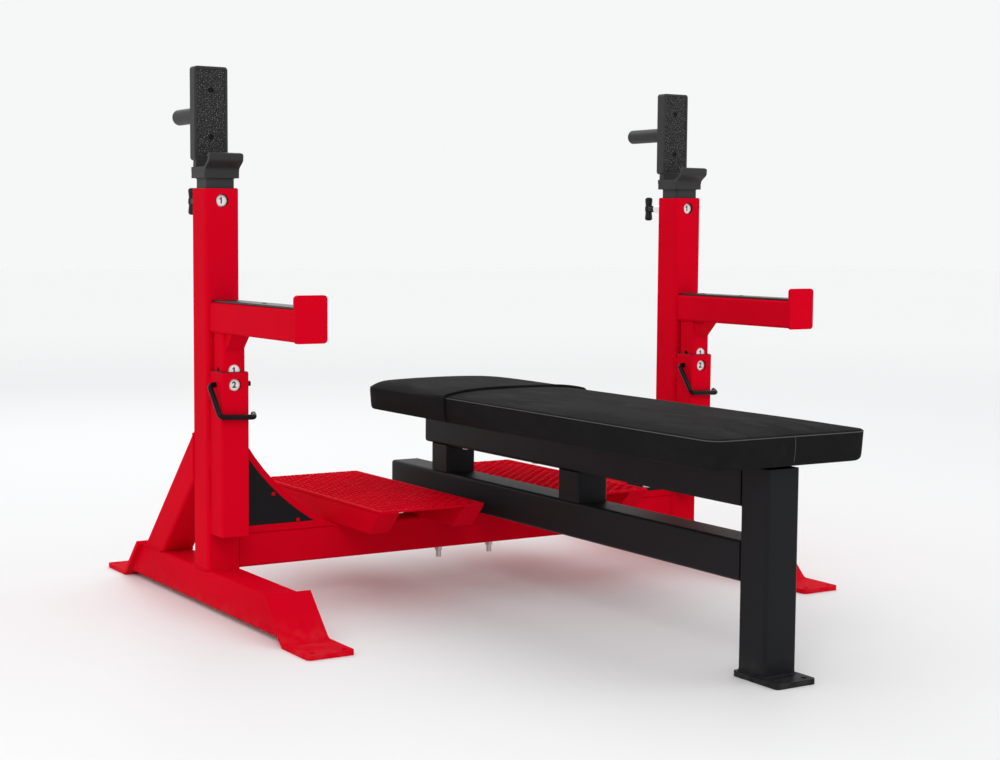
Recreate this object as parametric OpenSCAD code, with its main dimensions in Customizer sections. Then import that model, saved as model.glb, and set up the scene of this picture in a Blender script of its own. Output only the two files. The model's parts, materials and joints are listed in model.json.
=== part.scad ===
// Olympic bench press: flat bench bolted to a welded rack frame with
// height-adjustable bar racks, safety arms and two raised spotter decks.
// Origin: middle of the rack's floor bolts. +X to the right-hand upright,
// -Y towards the lifter's feet, +Z up, floor at z = 0.

/* [Frame] */
// Outside width of the square frame tube
tube = 75; // [70:0.5:82]
// Wall of the frame tube
wall = 3.2; // [2.5:0.1:4]
// Centre plane to each upright's centre
half_span = 613.5; // [560:0.5:680]
// Height of the upright's top above the floor
upright_top = 887; // [830:1:960]
// Length of a base beam along its top
base_len = 680; // [560:1:840]
// Thickness of the bent foot plates
foot_t = 10; // [6:0.5:12]
// Width of the foot plates
foot_w = 100; // [95:1:125]
// Flat part of a foot plate past its slope
foot_run = 126; // [80:1:150]
// Radius of a floor bolt hole
floor_hole_r = 5.5; // [4:0.5:7]
// Reach of a rear brace along the base and up the upright
brace_reach = 329; // [280:1:400]

/* [Gussets] */
// Height of the gusset up the upright
gusset_h = 213; // [180:1:240]
// Length of the gusset along the cross member
gusset_l = 224; // [160:1:226]
// How far the gusset's free edge curves inwards
gusset_sag = 24; // [6:1:28]
// Width of the gusset's rim around its inset panel
gusset_rim = 13; // [10:0.5:18]

/* [Spotter decks] */
// Inner edge of a deck from the centre plane
deck_in = 92; // [86:1:120]
// Width of a deck
deck_w = 258; // [220:1:320]
// Front edge of a deck, ahead of the uprights
deck_front = 240; // [150:1:300]
// Rear edge of a deck, behind the uprights
deck_rear = 360; // [200:1:420]
// Side of a deck rail tube
deck_rail = 50; // [40:1:60]
// Thickness of the tread plate
tread_t = 5; // [3:0.5:8]

/* [Bar racks] */
// Side of the rack post
rack_post = 62; // [58:0.5:66]
// Distance between index holes
pitch = 30; // [28:0.5:34]
// Number of steps that a rack or arm can move
steps = 6; // [3:1:6]
// Gap between the upright's top and the saddle collar
rack_show = 22; // [15:1:40]
// Height of the bar saddle's back tray
tray_h = 196; // [160:1:240]
// Depth of the back tray, front to rear
tray_d = 24; // [18:1:30]
// Diameter of the rear peg
peg_d = 34; // [25:0.5:40]
// Length of the rear peg
peg_len = 156; // [100:1:220]
// Diameter of the pull pin's nose
pull_d = 15.6; // [12:0.1:18]
// How far the pull pin draws back
pull_travel = 15; // [13:1:18]

/* [Safety arms] */
// Side of the receiver tube
receiver = 62; // [60:0.5:70]
// Height of the receiver's top
receiver_top = 507; // [480:1:540]
// Length of the receiver
receiver_len = 343; // [300:1:345]
// Side of the safety post
safe_post = 50; // [46:0.5:52]
// Underside of the arm at the position shown
arm_z = 589; // [580:1:640]
// Side of the arm tube
arm_tube = 62; // [55:0.5:70]
// Reach of the arm from the upright to its end plate
arm_len = 409; // [300:1:500]
// Diameter of the hitch pin's rod
hitch_d = 11.5; // [8:0.5:12]

/* [Bench] */
// Rear end of the lower beam, behind the uprights
beam_rear = 276; // [200:1:360]
// Rear end of the upper rail, behind the uprights
rail_rear = 113; // [90:1:200]
// Front face of the front leg, ahead of the uprights
leg_front = 1105; // [950:1:1250]
// Width of the front leg's foot plate
leg_foot_w = 92; // [88:1:110]
// Length of the front leg's foot plate
leg_foot_len = 124; // [116:1:140]
// Height of the gap between lower beam and upper rail
window_h = 62.5; // [50:0.5:90]
// Thickness of the bench's mounting plate
mount_t = 12.5; // [8:0.5:16]
// Width of the pad
pad_w = 368; // [300:1:400]
// Thickness of the upholstered pad
pad_t = 70; // [50:1:90]
// Gap between the upper rail and the pad's underside
pad_lift = 6; // [4:0.5:12]
// Head end of the pad, behind the uprights
pad_rear = 174; // [150:1:260]
// Overhang of the pad past the front leg
pad_over = 26; // [10:1:60]
// Corner radius at the pad's foot end
pad_r = 28; // [20:1:60]
// Corner radius at the pad's head end
pad_head_r = 74; // [40:1:100]

/* [Hidden] */
$fn = 48;
eps = 0.01;
tube_r = 7;                  // outside corner radius of frame tube
post_r = 5;                  // outside corner radius of receiver and safety post
gap = 0.3;                   // running clearance of a post in its liner
fit = 0.15;                  // clearance of a liner in its tube
deck_gap = 2;                // between a gusset's tip and the deck's outer rail
pin_gap = 0.35;              // radial clearance of a pin in its holes
half = tube / 2;
floor_z = foot_t;            // underside of the base beams
base_top = floor_z + tube;
cross_top = base_top + tube;
inner_x = half_span - half;  // inner face of an upright
foot_tip = base_len / 2 + tube + foot_run;
floor_hole_y = foot_tip - 15;
floor_hole_x = 33;           // each side of a foot plate's middle
index_z = upright_top - 25;  // height of the rack's pull pin
window_r = 14;               // round window over the position number
mark_r = 13;                 // recess for a position number
collar_z = upright_top + rack_show;
collar_t = 14;
saddle_t = 9.5;
saddle_z = collar_z + collar_t + saddle_t;  // where the bar rests
saddle_w = 76;
lip_run = 20;
lip_rise = 33;
lip_t = 8.5;
neck_h = 14;
tray_z = saddle_z + neck_h;
tray_front = 20;
tray_wall = 5.5;
tray_web = 6;
pad_sunk = 0.8;               // rubber pad's face below the tray's rim
peg_z = tray_z + tray_h / 2;
rack_in = steps * pitch + 200;   // post length inside the upright at rest
barrel_len = 54;
barrel_d = 22;
knob_y = half + barrel_len + 11;
grip_d = 19;                 // T grip of the pull pin
grip_len = 58;
nose_in = 9;                 // pull pin reach past the post's rear face
rec_y = -half - receiver / 2;
hitch_z = receiver_top - 26;
receiver_z = receiver_top - receiver_len;
shown = 2;                   // arm position shown, counted from the lowest
safe_bottom = hitch_z - (steps + 1 - shown) * pitch - 30;
liner_len = 70;
arm_gap = 1.4;
arm_back = -half - arm_gap;
arm_front = arm_back - arm_len;
arm_end_t = 7;
arm_end_w = 69;
arm_end_h = 92;
strip_w = 50.8;
strip_t = 5;
beam_z = cross_top + mount_t;
rail_z = beam_z + tube + window_h;
rail_top = rail_z + tube;
leg_back = -leg_front + tube;
head_spacer_y = rail_rear - 25 - half;
mid_spacer_y = -478;
plate_half = deck_in - 4;
mount_bolt_x = plate_half - 20;
leg_hole_x = 29;             // each side of the leg's middle
board_t = 15;
board_in = 80;
pad_front = -leg_front - pad_over;

// Square with round corners, centred
module rounded(w, d, r) {
    square([w - 2 * r, d], center = true);
    square([w, d - 2 * r], center = true);
    for (x = [-1, 1], y = [-1, 1])
        translate([x * (w / 2 - r), y * (d / 2 - r)]) circle(r);
}

// Upright tube of outside w by d, centred on x and y, from z to z + h
module tube_z(w, d, z, h, t = wall, r = tube_r) {
    translate([0, 0, z]) difference() {
        linear_extrude(h) rounded(w, d, r);
        translate([0, 0, -1]) linear_extrude(h + 2) rounded(w - 2 * t, d - 2 * t, r - t + 1);
    }
}

// Tube along Y from y0 to y1, centred on x and z
module tube_y(w, h, y0, y1, t = wall, r = tube_r) {
    translate([0, y1, 0]) rotate([90, 0, 0]) tube_z(w, h, 0, y1 - y0, t, r);
}

// Solid bar along X or Y through a wall, for holes
module bar_x(r, len, y, z) {
    translate([0, y, z]) rotate([0, 90, 0]) cylinder(r = r, h = len, center = true);
}
module bar_y(r, y0, y1, z) {
    translate([0, y1, z]) rotate([90, 0, 0]) cylinder(r = r, h = y1 - y0);
}

// Profile given as [y, z] points, extruded along X over width w
module yz_plate(points, w) {
    rotate([90, 0, 90]) translate([0, 0, -w / 2]) linear_extrude(w) polygon(points);
}

// Points of an arc about c, from angle a0 to a1
function arc(c, r, a0, a1, n = 8) =
    [for (i = [0 : n]) let (a = a0 + (a1 - a0) * i / n) c + r * [cos(a), sin(a)]];

// Puts children at the left (-1) or right (1) upright
module at_side(side) {
    translate([side * half_span, 0, 0]) children();
}

// ---- welded frame ----

module base_beam(side) {
    top = base_len / 2;
    color("crimson") at_side(side) intersection() {
        translate([0, 0, floor_z + half]) tube_y(tube, tube, -top - tube, top + tube);
        yz_plate([[-top - tube, floor_z], [top + tube, floor_z],
                  [top, base_top], [-top, base_top]], tube + 2);
    }
}

// Bent plate: slopes down the beam's mitred end, then lies flat on the floor
module foot(side, end) {
    s = base_len / 2 + tube;         // beam's lower corner
    k = foot_t * sqrt(2);
    lift = 6;                        // stands proud of the beam's top
    outer = s + floor_z + k;         // sloped outer face: y + z = outer
    top = base_top + lift;
    bend = foot_t * 1.6;
    c = [outer + bend * (sqrt(2) - 1) - foot_t, foot_t + bend];
    profile = concat(
        [[s + floor_z + 2, 0], [foot_tip, 0], [foot_tip, foot_t]],
        arc(c, bend, -90, -135, 6),
        [[outer - top, top], [outer - top - k / 2, top - k / 2], [s - 2, floor_z + 2]]
    );
    color("crimson") at_side(side) scale([1, end, 1]) difference() {
        intersection() {
            yz_plate(profile, foot_w);
            translate([0, foot_tip - 150, -1]) linear_extrude(base_top + 20)
                rounded(foot_w, 300, 9);
        }
        for (x = [-1, 1]) translate([x * floor_hole_x, floor_hole_y, -1])
            cylinder(r = floor_hole_r, h = foot_t + 2);
    }
}

module upright(side) {
    color("crimson") at_side(side) difference() {
        tube_z(tube, tube, base_top, upright_top - base_top);
        bar_y(window_r, -half - 1, -half + wall + 1, index_z);
        bar_y(pull_d / 2 + pin_gap, half - wall - 1, half + 1, index_z);
    }
}

module brace(side) {
    run = brace_reach + base_top;    // outer face: y + z = run
    color("crimson") at_side(side) intersection() {
        translate([0, run / 2, run / 2]) rotate([-45, 0, 0])
            translate([0, 0, -half]) tube_y(tube, tube, -run, run);
        translate([-tube, half, base_top]) cube([2 * tube, run, run]);
    }
}

module cross_member() {
    color("crimson") difference() {
        translate([-inner_x, 0, base_top + half]) rotate([90, 0, 90])
            tube_z(tube, tube, 0, 2 * inner_x);
        for (x = [-1, 1]) translate([x * mount_bolt_x, 0, base_top - 1])
            cylinder(r = 6.6, h = tube + 2);
    }
}

// Gusset outline in [x, z] from the weld corner, its free edge a concave arc
chord = norm([gusset_l, gusset_h]);
arc_r = chord * chord / (8 * gusset_sag) + gusset_sag / 2;
arc_mid = [gusset_l, gusset_h] / 2;
arc_dir = [gusset_h, gusset_l] / chord;
arc_c = arc_mid + arc_dir * (arc_r - gusset_sag);
// The tip is cut back where the deck's outer rail stands
deck_side = inner_x - deck_in - deck_w - deck_gap;
function free_edge(r) =
    let (d0 = [gusset_l, 0] - arc_c, d1 = [0, gusset_h] - arc_c)
    arc(arc_c, r, atan2(d0[1], d0[0]) + 360, atan2(d1[1], d1[0]) + 360, 10);

module gusset_outline() {
    intersection() {
        polygon(concat([[0, 0]], free_edge(arc_r)));
        square([deck_side, gusset_h + 1]);
    }
}
module gusset_inset(rim) {
    intersection() {
        polygon(concat([[-50, -50]], [for (p = free_edge(arc_r + rim)) p]));
        translate([rim, rim]) square([deck_side - 2 * rim, gusset_h]);
    }
}

// Stands a flat [x, z] shape on the cross member beside the upright
module at_gusset(side, y, t) {
    scale([side, 1, 1]) translate([inner_x, y + t, cross_top]) rotate([90, 0, 0])
        linear_extrude(t) scale([-1, 1]) children();
}

recess = 3;
web_t = 6;
module gusset(side) {
    color("crimson") difference() {
        at_gusset(side, -half, tube) gusset_outline();
        at_gusset(side, -half - 1, recess + 1) gusset_inset(gusset_rim);
        at_gusset(side, -half + recess + web_t, tube) gusset_inset(6);
    }
}

module gusset_panels() {
    color([0.13, 0.13, 0.14]) for (side = [-1, 1])
        at_gusset(side, -half, recess) gusset_inset(gusset_rim + 0.3);
}

// ---- spotter decks ----

rail_top_z = cross_top + deck_rail;
module deck_tread(side) {
    color("crimson") translate([side * (deck_in + deck_w / 2), (deck_rear - deck_front) / 2, rail_top_z])
        linear_extrude(tread_t) rounded(deck_w, deck_front + deck_rear, 5);
}

// One rail: mitred ends closed by sloped plates, with a drain hole below
module deck_one_rail() {
    cap = 4 * sqrt(2);
    y0 = -deck_front + 3;
    y1 = deck_rear - 3;
    z0 = cross_top;
    z1 = cross_top + deck_rail;
    difference() {
        intersection() {
            translate([0, 0, z0 + deck_rail / 2]) rotate([90, 0, 0])
                translate([0, 0, -y1]) linear_extrude(y1 - y0) rounded(deck_rail, deck_rail, 5);
            yz_plate([[y0, z1], [y1, z1], [y1 - deck_rail, z0], [y0 + deck_rail, z0]], deck_rail + 2);
        }
        intersection() {
            translate([0, 0, z0 + deck_rail / 2]) rotate([90, 0, 0]) translate([0, 0, -y1])
                linear_extrude(y1 - y0) rounded(deck_rail - 2 * wall, deck_rail - 2 * wall, 3);
            yz_plate([[y0 + cap, z1], [y1 - cap, z1],
                      [y1 - deck_rail - cap, z0], [y0 + deck_rail + cap, z0]], deck_rail);
        }
        translate([0, deck_rear - deck_rail - 60, z0 - 1]) cylinder(r = 4, h = wall + 2);
    }
}

module deck_rails(side) {
    color("crimson") for (x = [deck_in + deck_rail / 2, deck_in + deck_w - deck_rail / 2])
        translate([side * x, 0, 0]) deck_one_rail();
}

// ---- liners and pull pins ----

// Liner in a square tube: r is the radius of the tube's bore, post_r the post's corner
module liner(outer, inner, r, post_r, top, len) {
    translate([0, 0, top - len]) difference() {
        linear_extrude(len) rounded(outer, outer, r);
        translate([0, 0, -1]) linear_extrude(len + 2) rounded(inner, inner, post_r + gap);
    }
}

upright_bore = tube - 2 * wall;
receiver_bore = receiver - 2 * wall;
module tube_liners() {
    color([0.08, 0.08, 0.08]) for (side = [-1, 1]) at_side(side) {
        difference() {
            union() {
                liner(upright_bore - 2 * fit, rack_post + 2 * gap, tube_r - wall + 1, tube_r,
                      upright_top, liner_len);
                translate([0, 0, upright_top]) linear_extrude(1.5) difference() {
                    rounded(tube - 4, tube - 4, 5);
                    rounded(rack_post + 2 * gap, rack_post + 2 * gap, tube_r + gap);
                }
            }
            bar_y(window_r, -tube, 0, index_z);
            bar_y(pull_d / 2 + pin_gap, 0, tube, index_z);
        }
        translate([0, rec_y, 0]) difference() {
            union() {
                liner(receiver_bore - 2 * fit, safe_post + 2 * gap, post_r - wall + 1, post_r,
                      receiver_top, liner_len);
                translate([0, 0, receiver_top]) linear_extrude(1.5) difference() {
                    rounded(receiver - 3, receiver - 3, 5);
                    rounded(safe_post + 2 * gap, safe_post + 2 * gap, post_r + gap);
                }
            }
            bar_y(window_r, -tube, 0, hitch_z);
            bar_x(hitch_d / 2 + pin_gap, 2 * tube, 0, hitch_z);
        }
    }
}

shank_d = 9.4;
back_wall = 4;
nose_y0 = rack_post / 2 - nose_in;
nose_y1 = half + 22;
module pull_pin_barrels() {
    color([0.75, 0.75, 0.77]) for (side = [-1, 1]) at_side(side) difference() {
        union() {
            bar_y(barrel_d / 2, half, half + barrel_len, index_z);
            bar_y(barrel_d / 2 + 3, half, half + 5, index_z);
        }
        bar_y(pull_d / 2 + pin_gap, half - 1, half + barrel_len - back_wall, index_z);
        bar_y(shank_d / 2 + pin_gap, half, half + barrel_len + 1, index_z);
    }
}

module pull_plunger(side) {
    color([0.8, 0.8, 0.82]) at_side(side) {
        bar_y(pull_d / 2, nose_y0 + 2, nose_y1, index_z);
        translate([0, nose_y0, index_z]) rotate([-90, 0, 0])
            cylinder(r1 = pull_d / 2 - 2, r2 = pull_d / 2, h = 2);
        bar_y(shank_d / 2, nose_y1, knob_y, index_z);
    }
}

// Closed turns of the spring between the nose and the barrel's back wall
module pull_pin_springs() {
    wire = 1.6;
    turns = 7;
    len = half + barrel_len - back_wall - nose_y1 - 0.4;
    color([0.6, 0.6, 0.62]) for (side = [-1, 1]) at_side(side)
        for (i = [0 : turns - 1])
            translate([0, nose_y1 + 0.2 + wire / 2 + (len - wire) * i / (turns - 1), index_z])
                rotate([90, 0, 0]) rotate_extrude($fn = 32)
                    translate([pull_d / 2 - wire / 2 - 0.1, 0]) circle(wire / 2, $fn = 16);
}

// Moulded T grip on a short hub, its bar upright
module pull_knob(side) {
    r = grip_d / 2;
    end = grip_len / 2;
    waist = concat([[0, -end]], arc([r - 6, 6 - end], 6, -90, 0),
                   [[r - 1.5, -8], [r, -4], [r, 4], [r - 1.5, 8]],
                   arc([r - 6, end - 6], 6, 0, 90), [[0, end]]);
    color([0.05, 0.05, 0.05]) at_side(side) translate([0, knob_y, index_z]) {
        rotate([-90, 0, 0]) cylinder(d1 = 15, d2 = 17, h = 14);
        translate([0, 12 + r, 0]) rotate_extrude() polygon(waist);
    }
}

// ---- bar racks ----

module rack_holes() {
    for (i = [0 : steps]) {
        bar_y(pull_d / 2 + pin_gap, rack_post / 2 - wall - 1, rack_post / 2 + 1, index_z - i * pitch);
        bar_y(mark_r, -rack_post / 2 - 1, -rack_post / 2 + 0.6, index_z - i * pitch);
    }
}

module rack_post(side) {
    color([0.2, 0.2, 0.2]) at_side(side) difference() {
        tube_z(rack_post, rack_post, upright_top - rack_in, rack_in + rack_show, wall, tube_r);
        rack_holes();
    }
}

// Front lip's outer face, flaring forwards then standing up: t from 0 to 1
function flare(t) = let (u = min(1, t / 0.62)) u * u * (3 - 2 * u);
function lip(t, z) = [-37.5 - lip_run * flare(t) - 2 * t, z + lip_rise * t];

module rack_saddle(side) {
    z0 = collar_z + collar_t;
    z1 = z0 + saddle_t;
    outer = [for (i = [0 : 14]) lip(i / 14, z0 + 3)];
    inner = [for (i = [14 : -1 : 2]) lip(i / 14, z0 + 5) + [lip_t, 0]];
    profile = concat([[37.5, z0], [-37.5, z0]], outer, inner, [[-25, z1], [37.5, z1]]);
    color([0.2, 0.2, 0.2]) at_side(side) {
        translate([0, 0, collar_z]) linear_extrude(collar_t) rounded(78, 75, 4);
        intersection() {
            yz_plate(profile, saddle_w);
            translate([0, 100, z0 - 20 + (lip_rise + 26) / 2]) rotate([90, 0, 0])
                linear_extrude(200) rounded(saddle_w, lip_rise + 26, 8);
        }
        translate([0, tray_front + 17, 0]) rotate([90, 0, 0]) linear_extrude(16) polygon(
            [[-34, z1 - eps], [34, z1 - eps], [tray_w / 2 - 4, tray_z], [4 - tray_w / 2, tray_z]]);
    }
}

tray_w = 75;
pocket_w = tray_w - 2 * tray_wall;
pocket_h = tray_h - 2 * tray_wall;
module rack_tray(side) {
    color([0.2, 0.2, 0.2]) at_side(side) translate([0, tray_front + tray_d, tray_z + tray_h / 2])
        rotate([90, 0, 0]) difference() {
            linear_extrude(tray_d) rounded(tray_w, tray_h, 7);
            translate([0, 0, tray_web]) linear_extrude(tray_d) rounded(pocket_w, pocket_h, 3);
            for (z = [-1, 1]) translate([0, z * tray_h / 4, -1]) cylinder(r = 3.2, h = tray_web + 2);
        }
}

module rack_pad(side) {
    t = tray_d - tray_web;
    color([0.12, 0.12, 0.12]) at_side(side)
        translate([0, tray_front + t, tray_z + tray_h / 2]) rotate([90, 0, 0]) difference() {
            linear_extrude(t - pad_sunk) rounded(pocket_w - 1.2, pocket_h - 1.2, 2.5);
            for (z = [-1, 1]) translate([0, z * tray_h / 4, t - pad_sunk - 3]) cylinder(r = 6, h = 4);
        }
}

module rack_peg(side) {
    y0 = tray_front + tray_d;
    color([0.2, 0.2, 0.2]) at_side(side) {
        bar_y(peg_d / 2, y0, y0 + peg_len - 6, peg_z);
        translate([0, y0 + peg_len - 6, peg_z]) rotate([-90, 0, 0])
            cylinder(d1 = peg_d, d2 = peg_d - 10, h = 6);
    }
}

// ---- safety arms ----

module receiver_part(side) {
    color("crimson") at_side(side) translate([0, rec_y, 0]) difference() {
        tube_z(receiver, receiver, receiver_z, receiver_len, wall, post_r);
        bar_y(window_r, -receiver, 0, hitch_z);
        bar_x(hitch_d / 2 + pin_gap, 2 * receiver, 0, hitch_z);
    }
}

module safety_post(side) {
    color("crimson") at_side(side) translate([0, rec_y, 0]) difference() {
        tube_z(safe_post, safe_post, safe_bottom, arm_z - safe_bottom, wall, post_r);
        for (i = [1 : steps + 1]) {
            bar_x(hitch_d / 2 + pin_gap, 2 * safe_post, 0, hitch_z + (shown - i) * pitch);
            bar_y(mark_r, -safe_post / 2 - 1, -safe_post / 2 + 0.6, hitch_z + (shown - i) * pitch);
        }
    }
}

module safety_arm(side) {
    web = 38;
    front = rec_y - safe_post / 2;
    color("crimson") at_side(side) {
        translate([0, 0, arm_z + arm_tube / 2]) tube_y(arm_tube, arm_tube, arm_front, arm_back, wall, 6);
        yz_plate([[front, arm_z + eps], [front, arm_z - web], [front - web, arm_z + eps]], safe_post - 10);
    }
}

module arm_end(side) {
    color("crimson") at_side(side) translate([0, arm_front, arm_z - 2 + arm_end_h / 2])
        rotate([90, 0, 0]) linear_extrude(arm_end_t) rounded(arm_end_w, arm_end_h, 8);
}

module arm_strip(side) {
    color([0.1, 0.1, 0.1]) at_side(side)
        translate([0, arm_back, arm_z + arm_tube + strip_t / 2]) rotate([90, 0, 0])
            linear_extrude(arm_len) rounded(strip_w, strip_t, 2);
}

// Bent rod: through the receiver, down its outer side and across its front
hitch_path = [[46, 0, 0], [-45, 0, 0], [-38, -41, -64], [38, -41, -67], [43, -24, -62]];
module hitch_pin(side) {
    color([0.04, 0.04, 0.04]) at_side(side) translate([0, rec_y, hitch_z])
        for (i = [0 : len(hitch_path) - 2]) {
            a = hitch_path[i];
            v = hitch_path[i + 1] - a;
            translate(a) rotate([0, acos(v[2] / norm(v)), atan2(v[1], v[0])])
                cylinder(d = hitch_d, h = norm(v), $fn = 32);
            translate(hitch_path[i + 1]) sphere(d = hitch_d + 0.8, $fn = 32);
        }
}

// ---- bench ----

black = [0.12, 0.12, 0.13];

module bench_mount_plate() {
    color(black) difference() {
        translate([0, 0, cross_top]) linear_extrude(mount_t) rounded(2 * plate_half, tube, 5);
        for (x = [-1, 1]) translate([x * mount_bolt_x, 0, cross_top - 1])
            cylinder(r = 6.6, h = mount_t + 2);
    }
}

module bench_mount_bolts() {
    color([0.7, 0.7, 0.72]) for (x = [-1, 1]) translate([x * mount_bolt_x, 0, 0]) {
        translate([0, 0, beam_z]) cylinder(d = 20, h = 2);
        translate([0, 0, beam_z + 2]) cylinder(d = 18, h = 7, $fn = 6);
        translate([0, 0, base_top - 28]) cylinder(d = 12, h = beam_z + 2 - base_top + 28);
        translate([0, 0, base_top - 2]) cylinder(d = 22, h = 2);
        translate([0, 0, base_top - 12]) cylinder(d = 19, h = 10, $fn = 6);
    }
}

module bench_lower_beam() {
    color(black) translate([0, 0, beam_z + half]) tube_y(tube, tube, leg_back, beam_rear);
}

// End bolts stand clear of the head spacer and the front leg
pad_bolt_y = [head_spacer_y - half - 20, -300, -700, leg_back + 20];
module bench_upper_rail() {
    color(black) difference() {
        translate([0, 0, rail_z + half]) tube_y(tube, tube, leg_back, rail_rear);
        for (y = pad_bolt_y) translate([0, y, rail_z - 1]) cylinder(r = 5.6, h = tube + 2);
    }
}

module spacer(y) {
    color(black) translate([0, y, 0]) tube_z(tube, tube, beam_z + tube, window_h);
}
module bench_head_spacer() { spacer(head_spacer_y); }
module bench_mid_spacer() { spacer(mid_spacer_y); }

module bench_leg() {
    color(black) translate([0, leg_back - half, 0]) tube_z(tube, tube, floor_z, rail_top - floor_z);
}

module bench_foot_plate() {
    color(black) difference() {
        translate([0, leg_back + 4 - leg_foot_len / 2, 0])
            linear_extrude(foot_t) rounded(leg_foot_w, leg_foot_len, 8);
        for (x = [-1, 1]) translate([x * leg_hole_x, leg_back + 4 - leg_foot_len + 15, -1])
            cylinder(r = floor_hole_r, h = foot_t + 2);
    }
}

module bench_end_caps() {
    color([0.06, 0.06, 0.06]) for (c = [[beam_rear, beam_z], [rail_rear, rail_z]])
        translate([0, c[0], c[1] + half]) rotate([-90, 0, 0]) {
            linear_extrude(3) rounded(tube - 1, tube - 1, tube_r);
            translate([0, 0, -12]) linear_extrude(12 + eps)
                rounded(tube - 2 * wall - 1, tube - 2 * wall - 1, 4);
        }
}

// Pad's outline, moved in by inset: small corners at the foot end, large at the head
module pad_outline(inset) {
    w = pad_w - 2 * inset;
    len = pad_rear - pad_front - 2 * inset - 200;
    translate([0, pad_front + inset + len / 2]) rounded(w, len, max(4, pad_r - inset));
    translate([0, pad_rear - inset - len / 2]) rounded(w, len, max(4, pad_head_r - inset));
}

module pad_board() {
    color([0.5, 0.38, 0.25]) difference() {
        translate([0, 0, rail_top]) linear_extrude(board_t) pad_outline(board_in);
        for (y = pad_bolt_y) translate([0, y, rail_top - 1]) cylinder(r = 5.2, h = 13);
    }
}

module bench_pad() {
    color([0.07, 0.07, 0.07]) difference() {
        translate([0, 0, rail_top + pad_lift]) linear_extrude(pad_t) pad_outline(0);
        translate([0, 0, rail_top]) linear_extrude(board_t + 0.2) pad_outline(board_in - 0.5);
    }
}

module pad_bolts() {
    color([0.7, 0.7, 0.72]) for (y = pad_bolt_y) translate([0, y, 0]) {
        translate([0, 0, rail_z - 8]) cylinder(d = 18, h = 6, $fn = 6);
        translate([0, 0, rail_z - 2]) cylinder(d = 22, h = 2);
        translate([0, 0, rail_z - 2]) cylinder(d = 10, h = tube + 13);
    }
}

base_beam(-1);  // base_beam_left
base_beam(1);  // base_beam_right
foot(-1, -1);  // front_foot_left
foot(1, -1);  // front_foot_right
foot(-1, 1);  // rear_foot_left
foot(1, 1);  // rear_foot_right
upright(-1);  // upright_left
upright(1);  // upright_right
brace(-1);  // brace_left
brace(1);  // brace_right
cross_member();
receiver_part(-1);  // receiver_left
receiver_part(1);  // receiver_right
gusset(-1);  // gusset_left
gusset(1);  // gusset_right
gusset_panels();
deck_tread(-1);  // deck_tread_left
deck_tread(1);  // deck_tread_right
deck_rails(-1);  // deck_rails_left
deck_rails(1);  // deck_rails_right
tube_liners();
pull_pin_barrels();
pull_pin_springs();
pull_plunger(-1);  // pull_plunger_left
pull_plunger(1);  // pull_plunger_right
pull_knob(-1);  // pull_knob_left
pull_knob(1);  // pull_knob_right
hitch_pin(-1);  // hitch_pin_left
hitch_pin(1);  // hitch_pin_right
rack_post(-1);  // rack_post_left
rack_post(1);  // rack_post_right
rack_saddle(-1);  // rack_saddle_left
rack_saddle(1);  // rack_saddle_right
rack_tray(-1);  // rack_tray_left
rack_tray(1);  // rack_tray_right
rack_pad(-1);  // rack_pad_left
rack_pad(1);  // rack_pad_right
rack_peg(-1);  // rack_peg_left
rack_peg(1);  // rack_peg_right
safety_post(-1);  // safety_post_left
safety_post(1);  // safety_post_right
safety_arm(-1);  // safety_arm_left
safety_arm(1);  // safety_arm_right
arm_end(-1);  // arm_end_left
arm_end(1);  // arm_end_right
arm_strip(-1);  // arm_strip_left
arm_strip(1);  // arm_strip_right
bench_mount_plate();
bench_mount_bolts();
bench_lower_beam();
bench_upper_rail();
bench_head_spacer();
bench_mid_spacer();
bench_leg();
bench_foot_plate();
bench_end_caps();
pad_board();
bench_pad();
pad_bolts();
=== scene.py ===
import json
import math

import bmesh
import bpy
from bpy.props import FloatProperty, FloatVectorProperty, IntProperty, PointerProperty
from mathutils import Matrix, Vector


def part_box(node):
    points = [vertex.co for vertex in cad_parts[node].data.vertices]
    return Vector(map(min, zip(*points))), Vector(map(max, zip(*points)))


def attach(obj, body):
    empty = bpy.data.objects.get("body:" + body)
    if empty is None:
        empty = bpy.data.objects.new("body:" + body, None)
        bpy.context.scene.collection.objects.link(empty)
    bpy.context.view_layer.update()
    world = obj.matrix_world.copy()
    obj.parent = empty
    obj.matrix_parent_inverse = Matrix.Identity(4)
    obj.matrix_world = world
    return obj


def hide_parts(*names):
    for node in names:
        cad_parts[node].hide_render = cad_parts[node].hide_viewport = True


bl_info = {
    "name": "Bench Press Finisher",
    "version": (1, 0, 0),
    "blender": (4, 5, 0),
    "location": "View3D > Sidebar > Bench Press",
    "description": "Upholstery, welds, tread, number discs and paint for an olympic bench press",
    "category": "Object",
}

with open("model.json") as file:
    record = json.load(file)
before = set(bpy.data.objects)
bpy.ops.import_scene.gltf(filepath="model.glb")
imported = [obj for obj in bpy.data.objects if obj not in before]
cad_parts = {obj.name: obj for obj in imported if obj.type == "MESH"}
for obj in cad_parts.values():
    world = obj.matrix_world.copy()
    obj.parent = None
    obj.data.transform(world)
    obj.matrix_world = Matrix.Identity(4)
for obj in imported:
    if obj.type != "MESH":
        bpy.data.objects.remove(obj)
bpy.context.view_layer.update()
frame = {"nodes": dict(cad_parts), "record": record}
NODES = frame["nodes"]
SIDES = (("left", -1), ("right", 1))

# ---- places taken from the frame, in metres ----


def lo(node):
    return Vector(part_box(node)[0])


def hi(node):
    return Vector(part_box(node)[1])


def mid(node):
    return (lo(node) + hi(node)) / 2


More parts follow.
